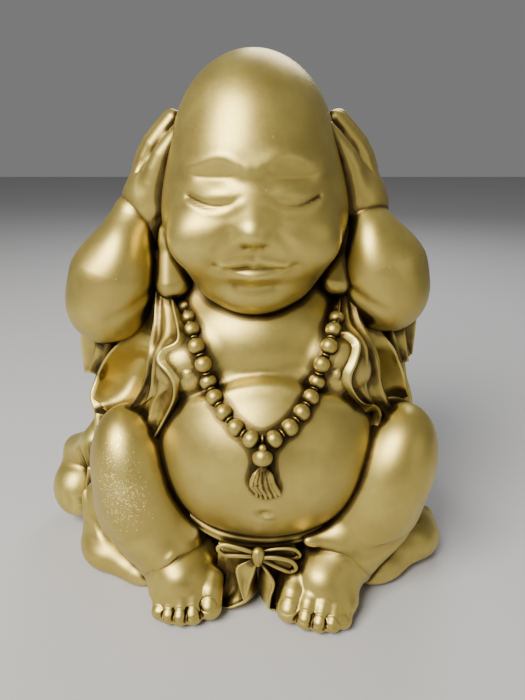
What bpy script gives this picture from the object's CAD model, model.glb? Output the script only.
# %% [markdown]
# # A gold-painted seated figure with its hands over its ears
# The real object is a hollow resin casting, about the height of a school ruler, sprayed with satin
# gold paint. Everything on it is soft and rounded: a bald head, chubby arms, an open robe. The CAD
# model already says where each casting is and how large it is. What follows gives each of them its
# carved skin, in the same frame, in metres, and changes nothing about where they are.
# %% Load the frame
import bpy
import math
import numpy as np
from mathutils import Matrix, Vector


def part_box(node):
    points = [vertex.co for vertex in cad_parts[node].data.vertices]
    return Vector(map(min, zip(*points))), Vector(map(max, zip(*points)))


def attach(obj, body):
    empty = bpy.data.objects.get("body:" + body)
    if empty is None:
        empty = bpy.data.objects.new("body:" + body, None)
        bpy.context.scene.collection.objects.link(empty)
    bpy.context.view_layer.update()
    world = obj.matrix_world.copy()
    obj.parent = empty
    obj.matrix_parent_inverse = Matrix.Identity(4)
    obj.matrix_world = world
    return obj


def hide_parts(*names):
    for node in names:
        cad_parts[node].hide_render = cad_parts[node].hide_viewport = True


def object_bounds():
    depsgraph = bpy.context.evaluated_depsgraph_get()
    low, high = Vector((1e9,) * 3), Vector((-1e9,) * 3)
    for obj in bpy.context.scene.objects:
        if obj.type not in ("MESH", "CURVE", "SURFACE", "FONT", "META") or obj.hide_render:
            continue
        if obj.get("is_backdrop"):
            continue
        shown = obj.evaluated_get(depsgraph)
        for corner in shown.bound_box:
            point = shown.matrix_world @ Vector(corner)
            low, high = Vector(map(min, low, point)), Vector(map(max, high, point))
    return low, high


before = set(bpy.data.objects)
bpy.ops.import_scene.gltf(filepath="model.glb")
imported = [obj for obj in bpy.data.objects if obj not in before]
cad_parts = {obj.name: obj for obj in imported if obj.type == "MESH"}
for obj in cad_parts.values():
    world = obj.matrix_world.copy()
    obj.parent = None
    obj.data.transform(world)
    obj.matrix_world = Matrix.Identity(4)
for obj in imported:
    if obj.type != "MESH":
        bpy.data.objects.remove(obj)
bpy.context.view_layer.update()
FINE = 0.82
TABLE = 0.3  # millimetres; nothing reaches lower than this
SIDES = ((-1, "right"), (1, "left"))  # the figure's own right is at -X


# %% [markdown]
# ## Measuring with soft shapes
# A carved figure could be pushed and pulled by hand in Sculpt Mode, but a script needs a way to say
# where the clay is. A distance field does that: a function that tells, for any point, how far it is
# from the surface, and is negative inside. Eggs and limbs are the two simplest ones, and `melt`
# joins two of them with a fillet, the way a thumb smooths clay into a joint.
# %% Distance fields
def centre_of(node):
    """The centre of a CAD node's box, in millimetres."""
    low, high = (1000 * np.array(corner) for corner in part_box(node))
    return (low + high) / 2


def spot(node, drawn_at):
    """Returns at(x, y, z), which puts a drawn point where the CAD has the node.

    Each piece was drawn in millimetres around a centre of its own, drawn_at. Every point of the
    drawing moves by as much as the node's real centre lies away from there.
    """
    moved = centre_of(node) - drawn_at
    return lambda x, y, z: np.array((x, y, z)) + moved


def length(a):
    """Length of each vector in an array."""
    return np.sqrt(np.einsum("...i,...i->...", a, a))


def turned(about_x=0, about_y=0, about_z=0):
    """Rotation matrix for turns in degrees about X, then Y, then Z."""
    a, b, c = np.radians((about_x, about_y, about_z))
    rx = np.array([[1, 0, 0], [0, math.cos(a), -math.sin(a)], [0, math.sin(a), math.cos(a)]])
    ry = np.array([[math.cos(b), 0, math.sin(b)], [0, 1, 0], [-math.sin(b), 0, math.cos(b)]])
    rz = np.array([[math.cos(c), -math.sin(c), 0], [math.sin(c), math.cos(c), 0], [0, 0, 1]])
    return rz @ ry @ rx


def egg(points, centre, radii, turn=(0, 0, 0)):
    """Distance to an egg: with s the point's length in units of the radii, s(s-1) over the slope."""
    own = (points - centre) @ turned(*turn)
    radii = np.array(radii, float)
    scaled = length(own / radii)
    return scaled * (scaled - 1) / np.maximum(length(own / radii ** 2), 1e-6)


def limb(points, start, end, thick, thin=None):
    """Distance to a round-ended limb: to the nearest point of its bone, less the radius there."""
    start, end = np.array(start, float), np.array(end, float)
    bone = end - start
    share = np.clip((points - start) @ bone / (bone @ bone), 0, 1)
    radius = thick + ((thick if thin is None else thin) - thick) * share
    return length(points - start - share[..., None] * bone) - radius


def melt(first, second, fillet):
    """Joins two fields with a fillet: a blend that dips below both where they are alike."""
    share = np.clip(0.5 + 0.5 * (second - first) / fillet, 0, 1)
    return second * (1 - share) + first * share - fillet * share * (1 - share)


def smooth_path(route, count):
    """Evenly numbered points on a Catmull-Rom curve through a short list of points."""
    route = np.array(route, float)
    route = np.vstack([2 * route[0] - route[1], route, 2 * route[-1] - route[-2]])
    t = np.linspace(0, len(route) - 3 - 1e-9, count)
    i, f = t.astype(int), (t % 1)[:, None]
    a, b, c, d = (route[i + k] for k in range(4))
    return 0.5 * (2 * b + (c - a) * f + (2 * a - 5 * b + 4 * c - d) * f ** 2
                  + (3 * b - a - 3 * c + d) * f ** 3)


def near_path(points, route, count=9):
    """Distance to a drawn line, taken as the nearest of its short straight runs."""
    line = smooth_path(route, count)
    return np.minimum.reduce([limb(points, a, b, 0.0) for a, b in zip(line[:-1], line[1:])])


def line_dent(points, route, width, depth):
    """A groove along a drawn line: depth times a bell curve of the distance. Negative is a ridge."""
    return depth * np.exp(-(near_path(points, route) / width) ** 2)


def drawn(points, route, width, depth):
    """A line drawn on a front: like line_dent, but depth along Y hardly counts as distance."""
    flat = np.array((1, 0.12, 1))
    return line_dent(points * flat, np.array(route) * flat, width, depth) * (points[..., 1] < -20)


def swell(points, middle, radii, height):
    """A soft oval on a front, as wide and tall as radii say: height times a bell curve."""
    off = (points[..., [0, 2]] - middle[[0, 2]]) / radii
    return height * np.exp(-np.einsum("...i,...i->...", off, off)) * (points[..., 1] < -20)


print("a unit egg's surface reads", round(float(egg(np.array([[1., 0, 0]]), 0, (1, 1, 1))[0]), 6))


# %% [markdown]
# ## From a field to a mesh
# Blender's Remesh and Metaball tools can turn fields into meshes, but they leave stair steps and
# even-sized faces. Here rays are shot outward from the middle of each piece instead, one for each
# pair of parameters: around, and from one end to the other. Each ray's length comes from walking in
# from outside by the field's own value until the surface is reached. The result is a neat grid.
# %% Grids and rays
def rays(bone_start, bone_end, around, rings, front=0.0):
    """Ray starts and directions for a closed skin around a bone.

    The direction turns from one pole to the other while its start slides along the bone. Where
    front is above 0, the columns crowd towards -Y, where the carving is finest.
    """
    bone_start, bone_end = np.array(bone_start, float), np.array(bone_end, float)
    axis = (bone_end - bone_start) / max(length(bone_end - bone_start), 1e-9)
    side = np.cross(axis, (0, 1, 0))
    side /= length(side)
    ahead = np.cross(side, axis)
    tilt = np.linspace(0, math.pi, rings + 2)[1:-1]
    lap = np.linspace(-math.pi, math.pi, around, endpoint=False)
    lap = lap - front * np.sin(lap)
    slide = np.clip((tilt / math.pi - 0.2) / 0.6, 0, 1)
    slide = slide * slide * (3 - 2 * slide)
    start = bone_start + slide[:, None, None] * (bone_end - bone_start)
    direction = (-np.cos(tilt)[:, None, None] * axis
                 + np.sin(tilt)[:, None, None] * (np.cos(lap)[:, None] * ahead
                                                  + np.sin(lap)[:, None] * side))
    start = np.broadcast_to(start, direction.shape)
    return start, direction, axis


def walk_in(field, start, direction, out, steps):
    """Comes in along each ray by the field's value, until it stands on the surface."""
    for _ in range(steps):
        out = np.maximum(out - 0.72 * field(start + out[..., None] * direction), 0.2)
    return out


def finer(out, rings, around):
    """Spreads lengths known on a coarse grid over a finer one: straight lines both ways."""
    row = np.linspace(0, out.shape[0] - 1, rings)
    lap = np.arange(around) * out.shape[1] / around
    i, j = np.minimum(row.astype(int), out.shape[0] - 2), lap.astype(int)
    u, v = (row - i)[:, None], (lap - j)[None, :]
    k = (j + 1) % out.shape[1]
    return ((1 - u) * ((1 - v) * out[i][:, j] + v * out[i][:, k])
            + u * ((1 - v) * out[i + 1][:, j] + v * out[i + 1][:, k]))


def read(group, name, width=1, kind=np.float32):
    """One array from a part of a mesh: a row of width numbers for each of its items."""
    flat = np.empty(len(group) * width, kind)
    group.foreach_get(name, flat)
    return flat.reshape(-1, width) if width > 1 else flat


def volume_of(points, faces):
    """Enclosed volume: a sixth of the triple products of a fan over each face. Negative if inside out."""
    corners = [points[faces[:, k]] for k in range(faces.shape[1])]
    return sum(np.einsum("ij,ij->i", corners[0], np.cross(corners[k], corners[k + 1])).sum()
               for k in range(1, faces.shape[1] - 1)) / 6


def into_scene(name, data):
    """A new object with this data, linked to the scene and left at the origin."""
    made = bpy.data.objects.new(name, data)
    bpy.context.scene.collection.objects.link(made)
    return made


def relief_marks(mesh, rounds):
    """Stores how far each vertex stands above (+) or below (-) its smoothed surroundings."""
    count = len(mesh.vertices)
    place, normals = read(mesh.vertices, "co", 3).astype(float), read(mesh.vertices, "normal", 3)
    ends = read(mesh.edges, "vertices", 2, np.int32)
    degree = np.maximum(np.bincount(ends.ravel(), minlength=count), 1)[:, None]
    smooth = place.copy()
    for _ in range(max(2, int(rounds * FINE ** 2))):
        total = np.stack([np.bincount(ends[:, 0], smooth[ends[:, 1], k], count)
                          + np.bincount(ends[:, 1], smooth[ends[:, 0], k], count) for k in range(3)], 1)
        smooth = 0.4 * smooth + 0.6 * total / degree
    raised = 1000 * np.einsum("ij,ij->i", place - smooth, normals)
    mark = mesh.attributes.new("relief", "FLOAT", "POINT")
    mark.data.foreach_set("value", np.tanh(1.1 * raised).astype(np.float32))


def piece(name, points, faces, nodes, finish, rounds=12):
    """Puts arrays into a mesh, faces outward, and lets the piece stand for its CAD nodes."""
    points = np.maximum(points, (-np.inf, -np.inf, TABLE))
    volume = volume_of(points, faces)
    if volume < 0:
        faces = faces[:, ::-1]
    rows = [row[:3] if len(row) > 3 and row[3] == row[0] else row for row in faces.tolist()]
    rows = [list(dict.fromkeys(row)) for row in rows]
    mesh = bpy.data.meshes.new(name)
    mesh.from_pydata((points / 1000).tolist(), [], [row for row in rows if len(row) > 2])
    mesh.shade_smooth()
    mesh.update()
    relief_marks(mesh, rounds)
    made = into_scene(name, mesh)
    mesh.materials.append(finish)
    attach(made, "root")
    if nodes:
        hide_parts(*nodes)
    print("%-18s %6d faces, %7.1f cm3" % (name, len(mesh.polygons), abs(volume) / 1000))
    return made


def grid_faces(rings, around, closed=True):
    """Quads of a grid of points, joined round where it is closed."""
    i, j = np.meshgrid(np.arange(rings - 1), np.arange(around if closed else around - 1), indexing="ij")
    k = (j + 1) % around
    return np.stack([i * around + j, i * around + k, (i + 1) * around + k, (i + 1) * around + j],
                    -1).reshape(-1, 4)


def closed_skin(rings, first, last):
    """Points and faces of stacked closed rings, with a pole at each end."""
    count, around = rings.shape[:2]
    points = np.vstack([rings.reshape(-1, 3), first, last])
    low, high = len(points) - 2, len(points) - 1
    j = np.arange(around)
    k = (j + 1) % around
    top = (count - 1) * around
    fans = np.vstack([np.stack([k, j, np.full(around, low), np.full(around, low)], -1),
                      np.stack([top + j, top + k, np.full(around, high), np.full(around, high)], -1)])
    return points, np.vstack([grid_faces(count, around), fans])


def cast(name, field, bone, reach, size, nodes, finish, front=0.0, rounds=12):
    """A piece whose skin is where the field is zero, seen from a bone inside it.

    A third of the rays walk all the way in; the others start near where their neighbours stopped.
    """
    around, rings = int(size[0] * FINE), int(size[1] * FINE)
    start, direction, _ = rays(bone[0], bone[1], around // 3, rings // 3, front)
    coarse = walk_in(field, start, direction, np.full(direction.shape[:2], float(reach)), 40)
    start, direction, axis = rays(bone[0], bone[1], around, rings, front)
    out = walk_in(field, start, direction, finer(coarse, rings, around) + 0.8, 10)
    skin = start + out[..., None] * direction
    ends, ways = np.array([bone[0], bone[1]], float), np.array([-axis, axis])
    poles = ends + walk_in(field, ends, ways, np.full(2, float(reach)), 46)[:, None] * ways
    points, faces = closed_skin(skin, poles[0], poles[1])
    return piece(name, points, faces, nodes, finish, rounds)


# %% [markdown]
# ## Gold paint over resin
# A single flat gold looks like plastic. The real paint is a satin film: bright and pale where hands
# rub it, olive-brown where a dark wash stayed in the creases, with dust-sized pits and, in places,
# coarse glitter. The `relief` value that every piece carries tells the material which is which, so
# no picture is needed. Glitter is a second attribute, painted on the knee and the hems.
# %% Materials
def node(tree, kind, **values):
    """Adds a shader node and sets its properties or its inputs by name."""
    made = tree.nodes.new(kind)
    for name, value in values.items():
        if hasattr(made, name):
            setattr(made, name, value)
        else:
            made.inputs[name.replace("_", " ")].default_value = value
    return made


def bare_material(name, rough=0.5):
    """A new material with its node tree and its shader, whose roughness is set."""
    material = bpy.data.materials.new(name)
    material.use_nodes = True
    shader = material.node_tree.nodes["Principled BSDF"]
    shader.inputs["Roughness"].default_value = rough
    return material, material.node_tree, shader


def colour_steps(tree, steps):
    """A colour ramp from a list of (place, colour)."""
    made = tree.nodes.new("ShaderNodeValToRGB")
    made.color_ramp.interpolation = "EASE"
    while len(made.color_ramp.elements) < len(steps):
        made.color_ramp.elements.new(0.5)
    for element, (place, colour) in zip(made.color_ramp.elements, steps):
        element.position, element.color = place, (*colour, 1)
    return made


def maths(tree, operation, first, second, clamp=False):
    """One arithmetic node, whose inputs are sockets or numbers."""
    made = tree.nodes.new("ShaderNodeMath")
    made.operation, made.use_clamp = operation, clamp
    for socket, value in zip(made.inputs, (first, second)):
        if isinstance(value, (int, float)):
            socket.default_value = value
        else:
            tree.links.new(value, socket)
    return made.outputs[0]


def gold_paint(name, wash, rough, glitter):
    """Satin gold: wash is how much relief changes the tone, rough the gloss, glitter a share of flakes.

    The flakes' share is added to the piece's own glitter value.
    """
    material, tree, shader = bare_material(name)
    link = tree.links.new
    shader.inputs["Metallic"].default_value = 0.86
    place = node(tree, "ShaderNodeTexCoord").outputs["Object"]
    relief = node(tree, "ShaderNodeAttribute", attribute_name="relief").outputs["Fac"]
    cloud = node(tree, "ShaderNodeTexNoise", Scale=38.0, Detail=5.0, Roughness=0.6)
    grain = node(tree, "ShaderNodeTexNoise", Scale=900.0, Detail=3.0, Roughness=0.7)
    flakes = node(tree, "ShaderNodeTexVoronoi", Scale=1900.0)
    dust = node(tree, "ShaderNodeTexVoronoi", Scale=210.0)
    for texture in (cloud, grain, flakes, dust):
        link(place, texture.inputs["Vector"])
    # where the wash lies: in low relief and in creases, stirred by the cloud
    height = maths(tree, "ADD", maths(tree, "MULTIPLY", relief, wash),
                   maths(tree, "MULTIPLY", cloud.outputs["Fac"], 0.34))
    tone = colour_steps(tree, [(0.0, (0.030, 0.019, 0.004)), (0.34, (0.16, 0.110, 0.030)),
                               (0.56, (0.465, 0.360, 0.092)), (0.80, (0.70, 0.580, 0.160)),
                               (1.0, (0.92, 0.80, 0.29))])
    crease = node(tree, "ShaderNodeAttribute", attribute_name="crease").outputs["Fac"]
    lifted = maths(tree, "SUBTRACT", maths(tree, "ADD", height, 0.43), maths(tree, "MULTIPLY", crease, 0.52))
    link(maths(tree, "ADD", lifted, 0.0, clamp=True), tone.inputs["Fac"])
    # coarse flakes of glitter, where the piece's own value asks for them
    amount = node(tree, "ShaderNodeAttribute", attribute_name="glitter").outputs["Fac"]
    lit = maths(tree, "GREATER_THAN", maths(tree, "ADD", amount, glitter),
                maths(tree, "ADD", flakes.outputs["Color"], 0.02))
    mixed = node(tree, "ShaderNodeMix", data_type="RGBA")
    link(lit, mixed.inputs["Factor"])
    link(tone.outputs["Color"], mixed.inputs["A"])
    mixed.inputs["B"].default_value = (1.0, 0.80, 0.30, 1)
    link(mixed.outputs["Result"], shader.inputs["Base Color"])
    gloss = maths(tree, "ADD", maths(tree, "MULTIPLY", grain.outputs["Fac"], 0.16),
                  maths(tree, "MULTIPLY", cloud.outputs["Fac"], 0.14))
    gloss = maths(tree, "SUBTRACT", maths(tree, "ADD", gloss, rough - 0.15),
                  maths(tree, "MULTIPLY", lit, 0.2), clamp=True)
    link(gloss, shader.inputs["Roughness"])
    pits = maths(tree, "LESS_THAN", dust.outputs["Distance"], 0.085)
    bumps = maths(tree, "SUBTRACT", maths(tree, "ADD", maths(tree, "MULTIPLY", grain.outputs["Fac"], 0.22),
                                          maths(tree, "MULTIPLY", lit, 0.45)), pits)
    bump = node(tree, "ShaderNodeBump", Strength=0.32, Distance=0.00022)
    link(bumps, bump.inputs["Height"])
    link(bump.outputs["Normal"], shader.inputs["Normal"])
    return material


skin_gold = gold_paint("satin gold skin", wash=0.20, rough=0.39, glitter=-0.02)
robe_gold = gold_paint("satin gold robe", wash=0.22, rough=0.42, glitter=0.0)
print("materials:", skin_gold.name, "and", robe_gold.name)


def sprinkle(made, centre, radii, amount):
    """Paints glitter on the vertices inside a soft ball: amount times a bell curve."""
    mesh = made.data
    away = length((1000 * read(mesh.vertices, "co", 3) - centre) / np.array(radii, float))
    if "glitter" not in mesh.attributes:
        mesh.attributes.new("glitter", "FLOAT", "POINT")
    mark = mesh.attributes["glitter"].data
    more = read(mark, "value") + amount * np.exp(-away ** 2)
    mark.foreach_set("value", more.astype(np.float32))


# %% [markdown]
# ## Head
# The real head is a large smooth egg with full cheeks, seated low on the shoulders. The face is a
# calm one of my own: closed lids, a short rounded nose and a gentle closed mouth, set by the usual
# thirds of a drawn face. All of it is one field, eggs melted together and lines pressed in, so the
# lids and lips grow out of the head with no seam.
# %% Head casting
on_head = spot("head_casting", (-3.0, -14.6, 220.0))
MIDDLE = -4.0  # the face's middle plane
FACE_UP = 220.0  # height of the eyes, half way up the head


def face_point(aside, ahead, up):
    """A point by the face: aside from its middle plane, ahead towards -Y, up from the eyes."""
    return on_head(MIDDLE + aside, -53.0 - ahead, FACE_UP + up)


def face_line(*marks):
    """Points of a line drawn on the face, each given as how far aside and how far up."""
    return [face_point(aside, 0, up) for aside, up in marks]


def head_field(points):
    """Skull, temples and cheeks melted into one egg, then brows, lids, nose, lips and chin."""
    form = melt(egg(points, on_head(-4.5, -11.1, 234), (42, 47.5, 50)),
                egg(points, on_head(-3.5, -20.6, 203), (47.5, 45, 41)), 22)
    form = melt(form, limb(points, on_head(-4, -8.6, 180), on_head(-4, -6.6, 154), 27), 12)
    form = melt(form, egg(points, face_point(0, -14, -44), (26, 18, 17)), 14)  # jaw
    for side in (-1, 1):
        form = melt(form, egg(points, face_point(side * 25, 0, -23), (15, 11, 13)), 13)  # cheek
        form = form + swell(points, face_point(side * 16.5, 0, 1), (14, 9), 4.6)  # eye socket
        brow = face_line((side * 4, 10), (side * 15, 15), (side * 30, 10))
        form = form - drawn(points, brow, 4.4, 1.4)
        form = form - swell(points, face_point(side * 16.8, 0, -0.5), (11.5, 5.6), 4.4)  # lid
        lash = face_line((side * 5.5, -2), (side * 11, -5.2), (side * 17, -6.2), (side * 23, -5.4),
                         (side * 30, -2.6))
        form = form + drawn(points, lash, 1.1, 1.4)
        form = form + drawn(points, [p + (0, 0, 11.5) for p in lash], 1.6, 0.4)
        form = form - drawn(points, [p - (0, 0, 3) for p in lash], 2.0, 0.7)
    form = melt(form, limb(points, face_point(0, 0.5, 8), face_point(0, 9, -17), 3.4, 4.6), 8)
    form = melt(form, egg(points, face_point(0, 10.6, -18.5), (6.2, 6.0, 5.4)), 3)
    for side in (-1, 1):
        form = melt(form, egg(points, face_point(side * 6.8, 6.6, -20.5), (4.9, 5.8, 4.2)), 2.5)  # nostril
        form = form + swell(points, face_point(side * 3.9, 0, -24.0), (2.4, 1.1), 1.0)
        form = form + drawn(points, face_line((side * 11.5, -18), (side * 17, -25)), 3.0, 0.9)
        form = form + swell(points, face_point(side * 19.5, 0, -32.6), (4.5, 4.5), 0.9)  # mouth corner
    form = form + drawn(points, face_line((0, -26), (0, -29)), 2.2, 0.45)
    upper = face_line((-15, -33), (-7, -31.4), (-2.5, -30.4), (0, -31.2), (2.5, -30.4), (7, -31.4), (15, -33))
    mouth = face_line((-18.5, -32.6), (-11, -34.6), (-4, -34.2), (0, -34.8), (4, -34.2), (11, -34.6),
                      (18.5, -32.6))
    form = form - drawn(points, upper, 2.2, 1.9) + drawn(points, mouth, 1.0, 2.3)
    form = form - swell(points, face_point(0, 0, -38.4), (11, 3.4), 2.6)  # lower lip
    form = form + drawn(points, face_line((-9, -44), (0, -45), (9, -44)), 2.8, 1.2)
    return melt(form, egg(points, face_point(0, -4.5, -51), (12, 8.5, 6.5)), 9)


cast("head", head_field, (on_head(-4, -12.6, 198), on_head(-4, -12.6, 234)), 95, (420, 300),
     ["head_casting"], skin_gold, front=0.45, rounds=10)


# %% [markdown]
# ## Torso
# Chest, breasts and belly are one casting. On the real one the belly pushes up against the chest,
# and a crease runs between them like a wide arc. Melting the eggs with a small fillet gives that
# crease by itself, and a pressed line sharpens it. The navel and nipples are small eggs and rings.
# %% Torso casting
at = spot("torso_casting", (2.8, -56.5, 100.0))


def torso_field(points):
    """Belly, chest and breasts, with a creased join, a navel and two nipples."""
    belly = egg(points, at(2, -26, 81.5), (67, 62, 59))
    chest = egg(points, at(-2, -16, 138), (54, 41.6, 36))
    shoulders = limb(points, at(-34, -4, 152), at(30, -4, 154), 20)
    chest = melt(chest, shoulders, 14)
    for side in (-1, 1):
        chest = melt(chest, egg(points, at(38 * side, -44, 130), (20, 17.5, 20)), 7)
    form = melt(belly, chest, 5)
    crease = [at(-47, -56, 118), at(-27, -60, 124), at(-10, -60, 131), at(8, -60, 132),
              at(26, -60, 125), at(46, -56, 119)]
    form = form + line_dent(points, crease, 2.8, 1.1)
    lip = [p + (0, -5, -4.5) for p in crease]
    form = form - line_dent(points, lip, 2.6, 0.8)
    for side in (-1, 1):
        tip = at(37.4 * side, -61.0, 132)
        away = length(points - tip)
        form = form + 0.6 * np.exp(-((away - 3.2) / 0.9) ** 2)
        form = melt(form, egg(points, tip, (1.8, 1.6, 1.8)), 0.8)
    hollow = egg(points, at(0.6, -88.5, 66.5), (4.8, 4.0, 2.8))
    form = -melt(-form, hollow, 3.0)
    form = melt(form, egg(points, at(2.8, -84.6, 65.8), (3.0, 2.4, 1.9)), 1.6)
    neck = limb(points, at(-30, -14, 160), at(24, -14, 161), 17)
    return melt(form, neck, 10)


cast("torso", torso_field, (at(2, -26, 62), at(0, -20, 140)), 105, (440, 330),
     ["torso_casting"], skin_gold, front=0.35, rounds=14)


# %% [markdown]
# ## Ears
# The palms hide most of each ear. What shows is a thin rim in front of the palm and the long lobe
# that hangs below it and touches the shoulder. Both are one path with a changing radius, melted.
# %% Ears
def ear_field(points, at):
    """A rim that thickens downward into a long drop-shaped lobe, with a shallow front hollow."""
    rim = smooth_path([at(0, -22, 244), at(2.2, -24, 226), at(3.4, -26, 208), at(5, -26, 194)], 9)
    form = np.minimum.reduce([limb(points, rim[k], rim[k + 1], 1.4 + 0.25 * k, 1.65 + 0.25 * k)
                              for k in range(8)])
    lobe = limb(points, at(4.5, -25, 197), at(3.0, -27, 172), 4.0, 10.0)
    form = melt(form, lobe, 5)
    return form + line_dent(points, [at(1, -35.5, 190), at(0.5, -37.5, 172)], 3.5, 0.8)


def ear(side, word):
    """The rim's top lies where the index finger meets the temple."""
    base = centre_of(word + "_ear")
    lobe_up = 177.7 if side < 0 else 179.3  # height of the box's centre in the drawing

    def at(aside, ahead, up):
        return base + (side * (aside - 3.5), ahead + 25.0, up - lobe_up)
    bone = (at(3.4, -26, 176), at(2.2, -24, 234))
    return cast(word + "_ear_skin", lambda points: ear_field(points, at), bone, 26, (110, 240),
                [word + "_ear"], skin_gold, rounds=8)


for side, word in SIDES:
    ear(side, word)


# %% [markdown]
# ## Arms
# Each bare arm is bent so far that the forearm stands beside the cheek: a big round elbow, a fat
# forearm that thins to the wrist, and a stub of upper arm going back into the robe. A crease at the
# wrist says that the hand is bent back over the ear.
# %% Arms
ARM = {-1: dict(drawn_at=(-74.3, -11.3, 175.3), elbow=(-84, -22, 158), mid=(-80, -22, 172),
                wrist=(-66.5, -14, 203), back=(-62, 12, 160)),
       1: dict(drawn_at=(62.7, -11.3, 181.3), elbow=(67, -22, 165), mid=(64.5, -22, 177),
               wrist=(52, -14, 204), back=(46, 12, 164))}


def arm(side, word):
    """Elbow, forearm and upper arm as limbs melted together, with a crease before the wrist."""
    at = spot(word + "_arm", ARM[side]["drawn_at"])
    bones = {name: at(*ARM[side][name]) for name in ("elbow", "mid", "wrist", "back")}

    def field(points):
        form = melt(limb(points, bones["elbow"], bones["mid"], 21.5, 21),
                    limb(points, bones["mid"], bones["wrist"], 20, 13.5), 12)
        form = melt(form, limb(points, bones["elbow"], bones["back"], 18, 17), 10)
        inner = egg(points, bones["mid"] + (-side * 8, -4, 6), (12, 14, 22))
        form = melt(form, inner, 10)
        fold = [bones["mid"] + (-side * 20, -10, -4), bones["mid"] + (-side * 13, -20, -12),
                bones["mid"] + (-side * 2, -23, -17)]
        return form + line_dent(points, fold, 3.0, 0.9)
    return cast(word + "_arm_skin", field, (bones["elbow"], bones["wrist"] + (0, 0, -4)), 60,
                (220, 240), [word + "_arm"], skin_gold, rounds=14)


for side, word in SIDES:
    arm(side, word)


# %% [markdown]
# ## Hands
# The hands are the finest carving after the face. Four fingers lie side by side over the ear and
# end on the skull, each a curved limb with knuckles a little thicker than its joints. A small
# fillet keeps the grooves between them, and pressed lines run on over the back of the hand.
# %% Hands
def hand(side, word):
    """A palm, a heel and four fingers that curve up and in towards the skull."""
    centre = centre_of(word + "_hand")

    def at(out, ahead, up):
        return centre + (side * (out - 2.4), ahead + 5.2, up - 225.7)
    fingers = []
    for k, (depth, rise, out) in enumerate([(-23, -5, -5.5), (-12, 0, 0.5), (0, 1, 3.5), (11, -4, 3.5)]):
        route = [at(out + 8.5, depth + 5, 209), at(out + 9.0, depth + 2, 222 + rise),
                 at(out + 3.5, depth, 237 + rise), at(out - 8.5, depth - 0.5, 251 + rise)]
        fingers.append(smooth_path(route, 8))

    def field(points):
        form = melt(egg(points, at(5.0, -8, 214), (14.5, 19, 20), (0, -10 * side, 0)),
                    limb(points, at(7, -10, 208), at(10, -12, 193), 14.5, 13.2), 8)
        inner = egg(points, at(-6, -8, 222), (9, 21, 26))
        form = melt(form, inner, 8)
        for line in fingers:
            finger = [limb(points, line[k], line[k + 1], 7.1 - 0.25 * k, 6.85 - 0.25 * k) for k in range(7)]
            form = melt(form, np.minimum.reduce(finger), 2.4)
        for front, behind in zip(fingers[:-1], fingers[1:]):
            gap = (front + behind)[:6] / 2 + (side * 6.0, -1.5, 0)
            form = form + line_dent(points, gap, 1.5, 1.1)
        crease = [at(-3, -27, 205), at(9, -27, 199), at(20, -18, 198), at(24, -6, 201)]
        return form + line_dent(points, crease, 1.7, 1.5)
    return cast(word + "_hand_skin", field, (at(6, -8, 204), at(-4, -6, 238)), 50, (300, 280),
                [word + "_hand"], skin_gold, rounds=10)


for side, word in SIDES:
    hand(side, word)


# %% [markdown]
# ## Legs
# The knees are drawn up under loose trousers, so each leg is a smooth egg. It ends in a hem that
# stands off the ankle, with a fold pulled to a point on the inner side. The hem's edge is a raised
# line with a pressed line under it, which reads as the thickness of cloth.
# %% Legs
LEG = {
    -1: dict(drawn_at=(-63.6, -50.7, 56.2),
             knee=(-69, -47, 63), knee_radii=(25, 30, 45), knee_turn=(0, -10, 0),
             calf_top=(-67, -46, 44), calf_end=(-53, -58, 27), calf_thick=25, calf_thin=21,
             hem=[(-72, -58, 3), (-63, -70, 13), (-54.2, -78, 24.2), (-44.3, -79, 34.4), (-34.7, -70, 38)],
             crease=[(-86, -58, 34), (-74, -72, 40), (-60, -78, 47)], press=0.8,
             point=[(-48, -58, 42), (-37, -63, 41)], point_thick=7),
    1: dict(drawn_at=(63.3, -48.0, 55.2),
            knee=(67, -47, 64), knee_radii=(26, 30, 46), knee_turn=(0, 20, 0),
            calf_top=(60, -46, 42), calf_end=(47, -58, 26), calf_thick=25, calf_thin=21,
            hem=[(64, -60, 4), (57, -72, 9), (46, -80, 20), (34, -80, 30), (24, -72, 36)],
            crease=[(88, -52, 40), (74, -66, 38), (60, -76, 35), (47, -82, 38)], press=2.6,
            point=[(42, -64, 38), (25, -71, 40)], point_thick=9)}


def leg(side, word):
    """Knee egg and calf melted together, a pointed corner of cloth, and a lip along the hem."""
    facts = LEG[side]
    at = spot(word + "_leg", facts["drawn_at"])
    hem, crease = ([at(*place) for place in facts[name]] for name in ("hem", "crease"))

    def field(points):
        knee = egg(points, at(*facts["knee"]), facts["knee_radii"], facts["knee_turn"])
        calf = limb(points, at(*facts["calf_top"]), at(*facts["calf_end"]),
                    facts["calf_thick"], facts["calf_thin"])
        form = melt(knee, calf, 14)
        corner = limb(points, at(*facts["point"][0]), at(*facts["point"][1]), facts["point_thick"], 2.4)
        form = melt(form, corner, 7)
        form = form - line_dent(points, [p + (0, 0, 3) for p in hem], 3.0, 1.5)
        return form + line_dent(points, crease, 4.0, facts["press"])
    bone = (at(*facts["calf_end"]), at(*facts["knee"]) + (0, 0, 12))
    return cast(word + "_leg_skin", field, bone, 75, (300, 280), [word + "_leg"], skin_gold, rounds=14)


legs = [leg(side, word) for side, word in SIDES]


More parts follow.
